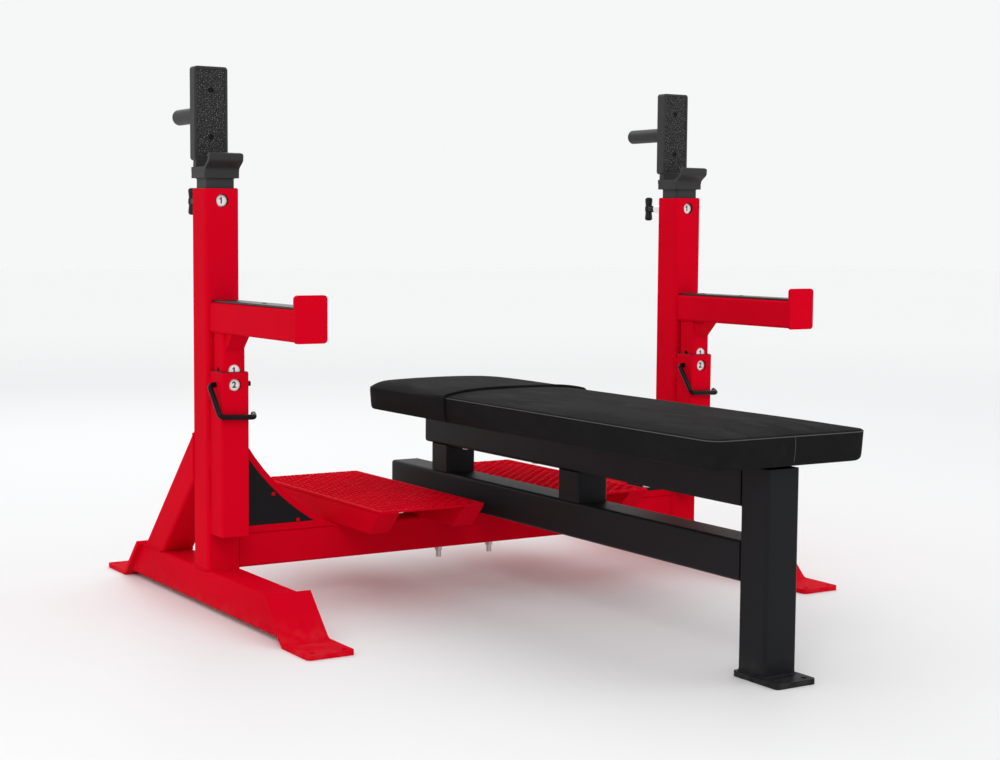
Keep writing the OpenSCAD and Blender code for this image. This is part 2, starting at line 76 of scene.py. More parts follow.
PITCH = 0.030          # between index holes
STEPS = 6
SHOWN_ARM = 2          # arm position shown
WINDOW_BELOW_TOP = 0.025
PIN_BELOW_TOP = 0.026
PAD_VOXEL = 0.006      # remesh size of the pad's cover
PAD_SIDE_CAP = 0.0035  # how far the pad's sides may swell
PAD_FULLNESS = 2.0     # how soon the swelling reaches its limit
PAD_RIM_ABOVE_SEAM = 0.0015
HEAD_DROP = 0.0095     # how far the top edge falls round the head end
HEAD_DROP_REACH = 0.034
HEAD_DROP_RAMP = 0.16
COVER_GAP = 0.0028     # head cover's face outside the pad's
COVER_THICK = 0.0020
DISC_RADIUS = 0.0122
DIGIT_SIZE = 0.0175
DIGIT_BOLD = 0.0007
LUG_WIDTH = 0.0056
LUG_DEPTH = 0.0042
LUG_LENGTH = 1.16      # in pitches
TREAD_MARGIN = 0.014   # plain edge of the tread plate, both sides together
HITCH_ROD_RADIUS = 0.00575
HITCH_BEND = 0.010
BEAD_STEP = 0.0028     # between ripples of a weld
BEAD_RIPPLE = 0.13
CAMERA_PLACE = (-2.0955, -3.4832, 0.8007)
CAMERA_TURN = (-32.173, -4.764, 0.443)   # yaw, pitch and roll in degrees
CAMERA_LENS = 63.8


# ---- shader toolkit ----


class Sock:
    """A node's output or a plain number; arithmetic on it adds Math nodes."""

    def __init__(self, shader, source):
        self.shader = shader
        self.source = source

    def math(self, operation, *others, clamp=False):
        return self.shader.node("ShaderNodeMath", {"operation": operation, "use_clamp": clamp}, {
            i: value for i, value in enumerate((self,) + others)})

    def __add__(self, other):
        return self.math("ADD", other)

    __radd__ = __add__

    def __sub__(self, other):
        return self.math("SUBTRACT", other)

    def __rsub__(self, other):
        return self.shader.number(other).math("SUBTRACT", self)

    def __mul__(self, other):
        return self.math("MULTIPLY", other)

    __rmul__ = __mul__

    def above(self, edge, soft):
        """0 below edge - soft, 1 above edge + soft, smooth between."""
        return self.shader.node("ShaderNodeMapRange", {"interpolation_type": "SMOOTHSTEP"}, {
            "Value": self, "From Min": edge - soft, "From Max": edge + soft})


class Shader:
    """Builds one material on a Principled surface."""

    def __init__(self, name):
        self.material = bpy.data.materials.new(name)
        self.material.use_nodes = True
        self.tree = self.material.node_tree
        self.tree.nodes.clear()
        self.surface = self.tree.nodes.new("ShaderNodeBsdfPrincipled")
        out = self.tree.nodes.new("ShaderNodeOutputMaterial")
        self.tree.links.new(self.surface.outputs[0], out.inputs["Surface"])
        self.place = self.node("ShaderNodeTexCoord", {}, {}, "Object")

    def number(self, value):
        return Sock(self, value)

    def join(self, value, socket):
        if isinstance(value, Sock):
            value = value.source
        if isinstance(value, bpy.types.NodeSocket):
            self.tree.links.new(value, socket)
        elif isinstance(value, (int, float)) and socket.type in ("RGBA", "VECTOR"):
            socket.default_value = [value] * 3 + ([1.0] if socket.type == "RGBA" else [])
        elif hasattr(value, "__len__") and socket.type == "RGBA" and len(value) == 3:
            socket.default_value = list(value) + [1.0]
        else:
            socket.default_value = value

    def node(self, kind, settings, sockets, out=0):
        """Adds a node, makes its settings, then fills its sockets."""
        made = self.tree.nodes.new(kind)
        for key, value in settings.items():
            setattr(made, key, value)
        for key, value in sockets.items():
            self.join(value, made.inputs[key])
        return Sock(self, made.outputs[out])

    def noise(self, scale, detail=3.0, rough=0.5, stretch=(1, 1, 1), turn=(0, 0, 0)):
        spot = self.place
        if tuple(stretch) != (1, 1, 1):
            spot = self.node("ShaderNodeMapping", {}, {
                "Vector": spot, "Scale": stretch, "Rotation": turn})
        return self.node("ShaderNodeTexNoise", {}, {
            "Vector": spot, "Scale": scale, "Detail": detail, "Roughness": rough}, "Fac")

    def cells(self, scale, feature="F1"):
        return self.node("ShaderNodeTexVoronoi", {"feature": feature}, {
            "Vector": self.place, "Scale": scale, "Randomness": 1.0}, "Distance")

    def blend(self, mask, under, over):
        return self.node("ShaderNodeMix", {"data_type": "RGBA"}, {0: mask, 6: under, 7: over}, 2)

    def height(self):
        return self.node("ShaderNodeSeparateXYZ", {}, {"Vector": self.place}, "Z")

    def relief(self, height, strength, distance):
        """Turns a height into the surface's normal; a second call stacks on the first."""
        sockets = {"Height": height, "Strength": strength, "Distance": distance}
        if self.surface.inputs["Normal"].is_linked:
            sockets["Normal"] = Sock(self, self.surface.inputs["Normal"].links[0].from_socket)
        bump = self.node("ShaderNodeBump", {}, sockets, "Normal")
        self.join(bump, self.surface.inputs["Normal"])

    def set(self, **sockets):
        names = {"colour": "Base Color", "rough": "Roughness", "metal": "Metallic", "coat": "Coat Weight",
                 "coat_rough": "Coat Roughness", "sheen": "Sheen Weight", "sheen_rough": "Sheen Roughness",
                 "specular": "Specular IOR Level"}
        for key, value in sockets.items():
            self.join(value, self.surface.inputs[names[key]])
        return self.material


def shade(colour, factor):
    return tuple(min(1.0, c * factor) for c in colour)


# ---- finishes ----


def powder_coat(name, colour, rough, peel, dust, shine):
    """Baked powder coat: orange peel, faint clouding, rubbed patches and floor dust."""
    s = Shader(name)
    clouds = s.noise(4.0, 3.0)
    fine = s.noise(160.0, 2.0)
    rubbed = s.noise(26.0, 6.0, 0.65).above(0.66, 0.06)
    base = s.blend(clouds, shade(colour, 0.86), shade(colour, 1.12))
    base = s.blend(fine * 0.12, base, shade(colour, 0.7))
    low = (1 - s.height().above(0.03, 0.03)) * s.noise(34.0, 5.0).above(0.56, 0.2)
    base = s.blend(low * dust, base, (0.42, 0.39, 0.36))
    scratch = s.noise(90.0, 2.0, 0.5, (1.0, 14.0, 1.0), (0.3, 0.5, 0.9)).above(0.755, 0.012)
    base = s.blend(scratch * 0.22, base, shade(colour, 1.5))
    s.relief(s.noise(620.0, 2.0) + s.noise(240.0, 1.0) * 0.7, peel, 0.0006)
    return s.set(colour=base, rough=rough + rubbed * 0.07 + low * 0.2 + fine * 0.05 + scratch * 0.1,
                 specular=shine)


def textured_coat(name, colour, rough):
    """Fine-texture charcoal coat with a sandy grain and lighter rubbed spots."""
    s = Shader(name)
    grain = s.noise(900.0, 2.0)
    clouds = s.noise(9.0, 4.0)
    base = s.blend(clouds, shade(colour, 0.8), shade(colour, 1.25))
    base = s.blend(grain.above(0.62, 0.06) * 0.35, base, shade(colour, 2.0))
    worn = s.noise(38.0, 6.0, 0.7).above(0.69, 0.03)
    base = s.blend(worn * 0.3, base, shade(colour, 2.6))
    s.relief(grain + s.cells(420.0) * 0.6, 0.3, 0.0006)
    return s.set(colour=base, rough=rough - worn * 0.1 + grain * 0.08, specular=0.3)


def polished_metal(name, colour, rough, turned):
    """Plated metal with fine circular turning marks and a few smudges."""
    s = Shader(name)
    marks = s.noise(60.0, 3.0, 0.5, (1, turned, 1))
    smudge = s.noise(70.0, 4.0).above(0.58, 0.1)
    base = s.blend(smudge * 0.4, colour, shade(colour, 0.78))
    s.relief(marks, 0.12, 0.0003)
    return s.set(colour=base, metal=1.0, rough=rough + marks * 0.12 + smudge * 0.12)


def zinc_plate(name):
    s = Shader(name)
    tint = s.noise(120.0, 3.0)
    spangle = s.cells(520.0)
    base = s.blend(tint, (0.52, 0.53, 0.55), (0.68, 0.66, 0.58))
    base = s.blend(spangle * 0.3, base, (0.36, 0.36, 0.38))
    s.relief(spangle, 0.15, 0.0003)
    return s.set(colour=base, metal=1.0, rough=0.32 + tint * 0.18)


def moulded_plastic(name, colour, rough, grain, shine=0.25):
    """Moulded plastic or nylon: faint flow marks, spark-eroded grain, light scuffs."""
    s = Shader(name)
    flow = s.noise(30.0, 4.0, 0.6, (1, 0.3, 1))
    scuff = s.noise(170.0, 3.0, 0.6, (1.0, 0.12, 1.0)).above(0.68, 0.03)
    base = s.blend(flow, shade(colour, 0.8), shade(colour, 1.3))
    base = s.blend(scuff * 0.35, base, shade(colour, 4.0))
    s.relief(s.noise(1100.0, 2.0) + scuff * 0.4, grain, 0.0005)
    return s.set(colour=base, rough=rough + flow * 0.1 + scuff * 0.12, specular=shine)


def crumb_rubber(name):
    """Pressed rubber crumb with pale flecks, as on a bar saddle's backing."""
    s = Shader(name)
    crumb = s.cells(300.0)
    rim = s.cells(300.0, "DISTANCE_TO_EDGE")
    speck = s.noise(430.0, 2.0, 0.7)
    base = s.blend(speck, (0.004, 0.004, 0.004), (0.03, 0.03, 0.03))
    base = s.blend(speck.above(0.6, 0.03), base, (0.22, 0.22, 0.22))
    s.relief(rim.above(0.09, 0.08) + speck * 1.2 - crumb * 0.4, 0.9, 0.0011)
    return s.set(colour=base, rough=0.72 + speck * 0.2, specular=0.3)


def plywood(name):
    """Black-stained plywood, its plies showing faintly at the edges."""
    s = Shader(name)
    ply = s.node("ShaderNodeTexWave", {"bands_direction": "Z"}, {
        "Vector": s.place, "Scale": 105.0, "Distortion": 0.4, "Detail": 1.0}, "Fac")
    grain = s.noise(46.0, 6.0, 0.6, (9.0, 0.35, 1.0))
    fleck = s.noise(240.0, 3.0, 0.5, (5.0, 0.4, 1.0)).above(0.66, 0.04)
    base = s.blend(grain, (0.016, 0.014, 0.012), (0.034, 0.029, 0.024))
    base = s.blend(ply * 0.4, base, (0.05, 0.04, 0.03))
    base = s.blend(fleck * 0.5, base, (0.008, 0.007, 0.006))
    s.relief(grain + fleck, 0.25, 0.0006)
    return s.set(colour=base, rough=0.7 + grain * 0.15)


def suede_vinyl(name, colour):
    """Soft upholstery vinyl with a suede nap and a pebbled grain; the nap lies in patches from brushing, and
    their lightening is painted sheen, laid mostly on the top where the light catches the nap.
    """
    s = Shader(name)
    nap_and_sheen = s.noise(7.0, 5.0, 0.62, (2.0, 0.8, 1.0))
    sheen_streak = s.noise(30.0, 4.0, 0.6, (1.2, 0.35, 1.0), (0, 0, 0.35))
    nap = s.noise(1500.0, 2.0)
    pebble = s.cells(850.0)
    # painted sheen: the top gets most of the lightening of the nap patches and lines, as if light caught the
    # nap there; the sides get little
    top = s.height().above(0.449, 0.006) * 0.85 + 0.15
    base = s.blend(nap_and_sheen.above(0.53, 0.1) * top, shade(colour, 0.8), shade(colour, 1.6))
    base = s.blend(sheen_streak.above(0.59, 0.08) * top * 0.6, base, shade(colour, 2.4))
    base = s.blend(nap * 0.35, base, shade(colour, 0.45))
    s.relief(pebble * 0.8 + nap * 0.6, 0.35, 0.0006)
    s.relief(nap_and_sheen, 0.25, 0.003)
    return s.set(colour=base, rough=0.66 + nap_and_sheen * 0.16 + nap * 0.08, specular=0.035,
                 sheen=0.01, sheen_rough=0.45)


def thread(name, colour):
    s = Shader(name)
    twist = s.noise(1600.0, 2.0)
    base = s.blend(twist, shade(colour, 0.6), shade(colour, 1.5))
    s.relief(twist, 0.5, 0.0003)
    return s.set(colour=base, rough=0.75)


def enamel(name, colour, rough):
    """Printed label stock with faint ink mottle."""
    s = Shader(name)
    mottle = s.noise(300.0, 3.0)
    wear = s.noise(70.0, 4.0).above(0.68, 0.05)
    base = s.blend(mottle * 0.25, colour, shade(colour, 0.8))
    base = s.blend(wear * 0.12, base, (0.3, 0.28, 0.26))
    s.relief(mottle, 0.1, 0.0002)
    return s.set(colour=base, rough=rough + mottle * 0.1)


def floor_paint(name, colour):
    s = Shader(name)
    cloud = s.noise(0.7, 4.0)
    speck = s.noise(60.0, 3.0)
    away = s.node("ShaderNodeVectorMath", {"operation": "LENGTH"}, {0: s.place}, "Value")
    base = s.blend(cloud, shade(colour, 0.985), shade(colour, 1.0))
    base = s.blend(away.above(6.0, 4.5), base, (0.99, 0.99, 0.99))
    s.relief(speck, 0.03, 0.0005)
    return s.set(colour=base, rough=0.55 + speck * 0.1, specular=0.25)


FINISH = {}


def make_finishes(look):
    red = tuple(look.frame_colour)
    black = tuple(look.bench_colour)
    charcoal = tuple(look.rack_colour)
    vinyl = tuple(look.pad_colour)
    FINISH.update({
        "red_powder_coat": powder_coat("RedPowderCoat", red, 0.42, 0.08, 0.05, 0.004),
        "black_powder_coat": powder_coat("BlackPowderCoat", black, 0.45, 0.12, 0.05, 0.12),
        "charcoal_powder_coat": textured_coat("CharcoalTexturedCoat", charcoal, 0.5),
        "black_oxide_rod": moulded_plastic("BlackDippedRod", (0.005, 0.005, 0.005), 0.10, 0.05, 0.12),
        "black_knob_plastic": moulded_plastic("BlackKnobPlastic", (0.007, 0.007, 0.007), 0.2, 0.1),
        "chrome_plate": polished_metal("ChromePlate", (0.82, 0.82, 0.84), 0.08, 9.0),
        "zinc_plated_steel": zinc_plate("ZincPlate"),
        "black_rubber": crumb_rubber("CrumbRubber"),
        "black_nylon": moulded_plastic("BlackNylon", (0.010, 0.010, 0.010), 0.30, 0.25),
        "plywood": plywood("PadPlywood"),
        "black_vinyl": suede_vinyl("BlackSuedeVinyl", vinyl),
        "label_white": enamel("LabelWhite", (0.90, 0.90, 0.89), 0.35),
        "label_black": enamel("LabelBlack", (0.01, 0.01, 0.01), 0.4),
        "seam_thread": thread("SeamThread", (0.05, 0.05, 0.051)),
    })


# ---- modelling helpers ----


def drop_selection():
    if bpy.context.object and bpy.context.object.mode != "OBJECT":
        bpy.ops.object.mode_set(mode="OBJECT")
    bpy.ops.object.select_all(action="DESELECT")


def pick(*objects):
    drop_selection()
    for each in objects:
        each.select_set(True)
    bpy.context.view_layer.objects.active = objects[0]
    return objects[0]


def settle(obj, name):
    """Puts a piece's place into its mesh and names it."""
    pick(obj)
    bpy.ops.object.transform_apply(location=True, rotation=True, scale=True)
    obj.name = name
    obj.data.name = name
    return obj


def dress(obj, body, slot, finish=None):
    """Gives a piece its finish and lets it ride on a body."""
    obj.data.materials.clear()
    obj.data.materials.append(FINISH[finish or slot])
    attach(obj, body)
    return obj


def cut_shape(obj, test, kind):
    """Selects the vertices, edges or faces that pass the test, in edit mode."""
    pick(obj)
    bpy.ops.object.mode_set(mode="EDIT")
    bpy.ops.mesh.select_mode(type=kind)
    bpy.ops.mesh.select_all(action="DESELECT")
    grid = bmesh.from_edit_mesh(obj.data)
    parts = {"VERT": grid.verts, "EDGE": grid.edges, "FACE": grid.faces}[kind]
    for part in parts:
        part.select_set(bool(test(part)))
    bmesh.update_edit_mesh(obj.data)


def leave_edit(smooth=True, angle=40):
    bpy.ops.object.mode_set(mode="OBJECT")
    if smooth:
        bpy.ops.object.shade_smooth_by_angle(angle=math.radians(angle))


def copy_of(obj, name, move=(0, 0, 0), mirror_x=False):
    pick(obj)
    bpy.ops.object.duplicate(linked=False)
    twin = bpy.context.object
    if mirror_x:
        bpy.ops.transform.mirror(orient_type="GLOBAL", constraint_axis=(True, False, False),
                                 center_override=(0, 0, 0))
    twin.location = Vector(twin.location) + Vector(move)
    settle(twin, name)
    if mirror_x:
        cut_shape(twin, lambda f: True, "FACE")
        bpy.ops.mesh.normals_make_consistent(inside=False)
        bpy.ops.object.mode_set(mode="OBJECT")
    return twin


def merge(objects, name):
    pick(*objects)
    bpy.ops.object.join()
    return settle(objects[0], name)


def rod(points, radius, name, closed=False, ripple=0.0, sides=3):
    """A round rod or bead along a line of points."""
    bpy.ops.curve.primitive_bezier_curve_add(location=(0, 0, 0))
    obj = bpy.context.object
    line = obj.data
    line.splines.clear()
    spline = line.splines.new("POLY")
    spline.points.add(len(points) - 1)
    for i, point in enumerate(points):
        spline.points[i].co = (*point, 1.0)
        spline.points[i].radius = 1.0 + (ripple if i % 2 else -ripple)
    spline.use_cyclic_u = closed
    line.dimensions = "3D"
    line.bevel_depth = radius
    line.bevel_resolution = sides
    line.use_fill_caps = True
    pick(obj)
    bpy.ops.object.convert(target="MESH")
    obj = bpy.context.object
    bpy.ops.object.mode_set(mode="EDIT")
    bpy.ops.mesh.select_all(action="SELECT")
    bpy.ops.mesh.remove_doubles(threshold=0.00002)
    bpy.ops.mesh.normals_make_consistent(inside=False)
    leave_edit(True, 60)
    return settle(obj, name)


def along(points, step, closed=False):
    """Evenly spaced points along a broken line."""
    points = [Vector(p) for p in points]
    if closed:
        points.append(points[0])
    out = []
    for a, b in zip(points, points[1:]):
        count = max(1, round((b - a).length / step))
        out += [a.lerp(b, i / count) for i in range(count)]
    if not closed:
        out.append(points[-1])
    return out


def rounded_line(points, radius, count=8):
    """A broken line with an arc in place of each inner corner."""
    points = [Vector(p) for p in points]
    out = [points[0]]
    for a, b, c in zip(points, points[1:], points[2:]):
        u, v = (a - b).normalized(), (c - b).normalized()
        reach = min(radius / math.tan(u.angle(v) / 2), (a - b).length * 0.48, (c - b).length * 0.48)
        p, q = b + u * reach, b + v * reach
        for i in range(count + 1):
            t = i / count
            out.append(p * (1 - t) ** 2 + b * 2 * t * (1 - t) + q * t ** 2)
    out.append(points[-1])
    return out


# ---- settings ----


class BenchPressSettings(bpy.types.PropertyGroup):
    """Sizes and colours of the parts that finish the bench press."""
    frame_colour: FloatVectorProperty(
        name="Frame colour", description="Powder coat on the rack frame", subtype="COLOR",
        size=3, min=0, max=1, default=(0.67, 0.0014, 0.0145))
    bench_colour: FloatVectorProperty(
        name="Bench colour", description="Powder coat on the bench's tubes", subtype="COLOR",
        size=3, min=0, max=1, default=(0.0085, 0.009, 0.0105))
    rack_colour: FloatVectorProperty(
        name="Rack colour", description="Textured coat on the bar racks", subtype="COLOR",
        size=3, min=0, max=1, default=(0.021, 0.021, 0.022))
    pad_colour: FloatVectorProperty(
        name="Pad colour", description="Suede-finish vinyl", subtype="COLOR",
        size=3, min=0, max=1, default=(0.0125, 0.0125, 0.0130))
    crown: FloatProperty(
        name="Pad crown", description="How far the pad's top swells above its seam", subtype="DISTANCE",
        default=0.0165, min=0.0, max=0.02)
    seam_height: FloatProperty(
        name="Seam height", description="Height of the pad's top seam above the floor", subtype="DISTANCE",
        default=0.4475, min=0.43, max=0.455)
    cover_edge: FloatProperty(
        name="Head cover edge", description="Where the slip-on head cover ends", subtype="DISTANCE",
        default=-0.222, min=-0.3, max=0.0)
    foot_corner: FloatProperty(
        name="Foot corner", description="Radius of the pad's corners at the foot end", subtype="DISTANCE",
        default=0.030, min=0.02, max=0.06)
    head_corner: FloatProperty(
        name="Head corner", description="Radius of the pad's corners at the head end", subtype="DISTANCE",
        default=0.076, min=0.04, max=0.1)
    cloth_steps: IntProperty(
        name="Cloth steps", description="Frames over which the pad's cover is inflated",
        default=20, min=5, max=40)
    lug_pitch: FloatProperty(
        name="Tread pitch", description="Distance between tread lugs", subtype="DISTANCE",
        default=0.0150, min=0.012, max=0.03)
    weld_size: FloatProperty(
        name="Weld size", description="Radius of the weld beads", subtype="DISTANCE",
        default=0.0026, min=0.001, max=0.005)


# ---- pieces ----


class BENCHPRESS_OT_paint(bpy.types.Operator):
    """Give every part of the frame its finish"""
    bl_idname = "benchpress.paint"
    bl_label = "Paint the frame"

    def execute(self, context):
        make_finishes(context.scene.bench_press)
        for part in frame["record"]["subparts"]:
            obj = NODES[part["node"]]
            finish = FINISH[part["material_slot"]]
            if obj.material_slots:
                for slot in obj.material_slots:
                    slot.material = finish
            else:
                obj.data.materials.append(finish)
        return {"FINISHED"}


def swell(obj, pinned, steps, cap):
    """Inflates a closed cushion as cloth, keeps pinned points, and limits how far any point moves."""
    rest = [v.co.copy() for v in obj.data.vertices]
    group = obj.vertex_groups.new(name="held")
    group.add([i for i, co in enumerate(rest) if pinned(co)], 1.0, "REPLACE")
    pick(obj)
    bpy.ops.object.modifier_add(type="CLOTH")
    cloth = obj.modifiers[-1]
    cloth.settings.quality = 4
    cloth.settings.mass = 0.25
    cloth.settings.tension_stiffness = 12
    cloth.settings.compression_stiffness = 12
    cloth.settings.shear_stiffness = 6
    cloth.settings.bending_stiffness = 2.0
    cloth.settings.use_pressure = True
    cloth.settings.uniform_pressure_force = 4.0
    cloth.settings.vertex_group_mass = "held"
    cloth.settings.effector_weights.gravity = 0
    cloth.point_cache.frame_start = 1
    cloth.point_cache.frame_end = steps
    for f in range(1, steps + 1):
        bpy.context.scene.frame_set(f)
    bpy.ops.object.modifier_apply(modifier=cloth.name)
    moved = [v.co.copy() for v in obj.data.vertices]
    bpy.context.scene.frame_set(1)
    for v, old, new in zip(obj.data.vertices, rest, moved):
        way = new - old
        limit = cap(old)
        if way.length > 1e-9 and limit > 0:
            v.co = old + way.normalized() * limit * math.tanh(PAD_FULLNESS * way.length / limit)
        else:
            v.co = old
    obj.vertex_groups.clear()


class BENCHPRESS_OT_pad(bpy.types.Operator):
    """Upholster the bench pad: foam inflated inside its vinyl cover"""
    bl_idname = "benchpress.pad"
    bl_label = "Bench pad"

    def execute(self, context):
        look = context.scene.bench_press
        low, high = lo("bench_pad"), hi("bench_pad")
        base, seam = low.z + 0.0005, look.seam_height
        rim = seam + PAD_RIM_ABOVE_SEAM
        size = high - low
        drop_selection()
        bpy.ops.mesh.primitive_cube_add(
            size=1, location=((low.x + high.x) / 2, (low.y + high.y) / 2, (base + rim) / 2))
        pad = bpy.context.object
        pad.scale = (size.x - 0.003, size.y - 0.002, rim - base)
        settle(pad, "pad_cover_main")
        cut_shape(pad, lambda f: f.normal.z < -0.9, "FACE")
        bpy.ops.transform.resize(value=(0.984, 0.996, 1))
        for end, corner in ((-1, look.foot_corner), (1, look.head_corner)):
            cut_shape(pad, lambda e: abs(e.verts[0].co.z - e.verts[1].co.z) > 0.01
                      and (e.verts[0].co.y - (low.y + high.y) / 2) * end > 0.5, "EDGE")
            bpy.ops.mesh.bevel(offset=corner, segments=12, affect="EDGES")
        cut_shape(pad, lambda e: all(v.co.z < base + 0.001 for v in e.verts), "EDGE")
        bpy.ops.mesh.bevel(offset=0.009, segments=4, affect="EDGES")
        cut_shape(pad, lambda e: all(v.co.z > rim - 0.001 for v in e.verts), "EDGE")
        bpy.ops.mesh.bevel(offset=0.0025, segments=2, affect="EDGES")
        leave_edit(False)
        pad.data.remesh_voxel_size = PAD_VOXEL
        bpy.ops.object.voxel_remesh()
        half = size.x / 2

        def inward(co):
            """Distance in from the pad's outline."""
            dx = half - abs(co.x)
            dy = min(high.y - co.y, co.y - low.y)
            r = look.head_corner if co.y > -0.4 else look.foot_corner
            if dx < r and dy < r:
                return r - math.hypot(r - dx, r - dy)
            return min(dx, dy)

        def pinned(co):
            if co.z < base + 0.006:
                return True
            return co.z > seam - 0.006 and inward(co) < 0.006

        def cap(co):
            if pinned(co):
                return 0.0
            return look.crown if co.z > seam - 0.004 else PAD_SIDE_CAP

        swell(pad, pinned, look.cloth_steps, cap)
        pick(pad)
        bpy.ops.object.modifier_add(type="SMOOTH")
        pad.modifiers[-1].factor = 0.5
        pad.modifiers[-1].iterations = 1
        bpy.ops.object.modifier_apply(modifier=pad.modifiers[-1].name)
        for v in pad.data.vertices:
            soft = min(1.0, max(0.0, (v.co.y - look.cover_edge) / HEAD_DROP_RAMP))
            close = max(0.0, 1.0 - inward(v.co) / HEAD_DROP_REACH)
            v.co.z -= HEAD_DROP * soft * close ** 2 * max(0.0, (v.co.z - base) / (rim - base))
        bpy.ops.object.modifier_add(type="SUBSURF")
        pad.modifiers[-1].levels = 1
        pad.modifiers[-1].render_levels = 1
        bpy.ops.object.modifier_apply(modifier=pad.modifiers[-1].name)
        bpy.ops.object.shade_smooth()
        dress(pad, "frame", "black_vinyl")
        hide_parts("bench_pad")
        return {"FINISHED"}


def outline_of(obj, point, normal, keep, radius, name):
    """A cord laid along the cut that a plane makes in a piece."""
    pick(obj)
    bpy.ops.object.duplicate(linked=False)
    cut = bpy.context.object
    bpy.ops.object.mode_set(mode="EDIT")
    bpy.ops.mesh.select_all(action="SELECT")
    bpy.ops.mesh.bisect(plane_co=point, plane_no=normal, clear_inner=True, clear_outer=True,
                        threshold=0.00001)
    grid = bmesh.from_edit_mesh(cut.data)
    bmesh.ops.delete(grid, geom=[v for v in grid.verts if not keep(v.co)], context="VERTS")
    bmesh.update_edit_mesh(cut.data)
    bpy.ops.mesh.select_all(action="SELECT")
    bpy.ops.mesh.remove_doubles(threshold=0.0015)
    bpy.ops.object.mode_set(mode="OBJECT")
    for modifier in list(cut.modifiers):
        cut.modifiers.remove(modifier)
    bpy.ops.object.convert(target="CURVE")
    cut = bpy.context.object
    cut.data.bevel_depth = radius
    cut.data.bevel_resolution = 2
    cut.data.use_fill_caps = True
    bpy.ops.object.convert(target="MESH")
    cut = bpy.context.object
    bpy.ops.object.mode_set(mode="EDIT")
    bpy.ops.mesh.select_all(action="SELECT")
    bpy.ops.mesh.normals_make_consistent(inside=False)
    leave_edit(True, 70)
    cut.parent = None
    return settle(cut, name)


class BENCHPRESS_OT_pad_trim(bpy.types.Operator):
    """Sew the pad: slip-on head cover with its hem, top seam and front seam"""
    bl_idname = "benchpress.pad_trim"
    bl_label = "Pad cover and seams"

    def execute(self, context):
        look = context.scene.bench_press
        pad = bpy.data.objects["pad_cover_main"]
        low = lo("bench_pad")
        edge, seam = look.cover_edge, look.seam_height

        top = outline_of(pad, (0, 0, seam - 0.0020), (0, 0, 1), lambda co: co.y < edge - 0.001, 0.0010,
                         "pad_top_seam")
        dress(top, "frame", "black_vinyl", "seam_thread")
        front = outline_of(pad, (0.002, 0, 0), (1, 0, 0),
                           lambda co: co.y < low.y + 0.02 and low.z + 0.006 < co.z < seam, 0.0006,
                           "pad_front_seam")
        dress(front, "frame", "black_vinyl", "seam_thread")

        pick(pad)
        bpy.ops.object.duplicate(linked=False)
        cover = bpy.context.object
        cover.parent = None
        for key in [k for k in cover.keys() if k.startswith("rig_")]:
            del cover[key]
        bpy.ops.object.mode_set(mode="EDIT")
        bpy.ops.mesh.select_all(action="SELECT")
        bpy.ops.mesh.bisect(plane_co=(0, edge, 0), plane_no=(0, 1, 0), clear_inner=True, threshold=0.00001)
        bpy.ops.mesh.select_all(action="SELECT")
        bpy.ops.mesh.bisect(plane_co=(0, 0, low.z + 0.0045), plane_no=(0, 0, 1), clear_inner=True,
                            threshold=0.00001)
        bpy.ops.mesh.select_all(action="SELECT")
        bpy.ops.transform.shrink_fatten(value=COVER_GAP)
        bpy.ops.mesh.remove_doubles(threshold=0.0001)
        bpy.ops.object.mode_set(mode="OBJECT")
        hem = outline_of(cover, (0, edge + 0.0008, 0), (0, 1, 0), lambda co: co.z > low.z + 0.0055, 0.0027,
                         "pad_cover_hem")
        dress(hem, "frame", "black_vinyl")
        piping = outline_of(cover, (0, 0, seam - 0.0060), (0, 0, 1), lambda co: co.y > edge + 0.003, 0.0013,
                            "pad_cover_piping")
        dress(piping, "frame", "black_vinyl")
        pick(cover)
        bpy.ops.object.modifier_add(type="SOLIDIFY")
        cover.modifiers[-1].thickness = COVER_THICK
        cover.modifiers[-1].offset = -1.0
        cover.modifiers[-1].use_even_offset = False
        bpy.ops.object.modifier_apply(modifier=cover.modifiers[-1].name)
        bpy.ops.object.shade_smooth_by_angle(angle=math.radians(50))
        settle(cover, "pad_head_cover")
        dress(cover, "frame", "black_vinyl")
        return {"FINISHED"}


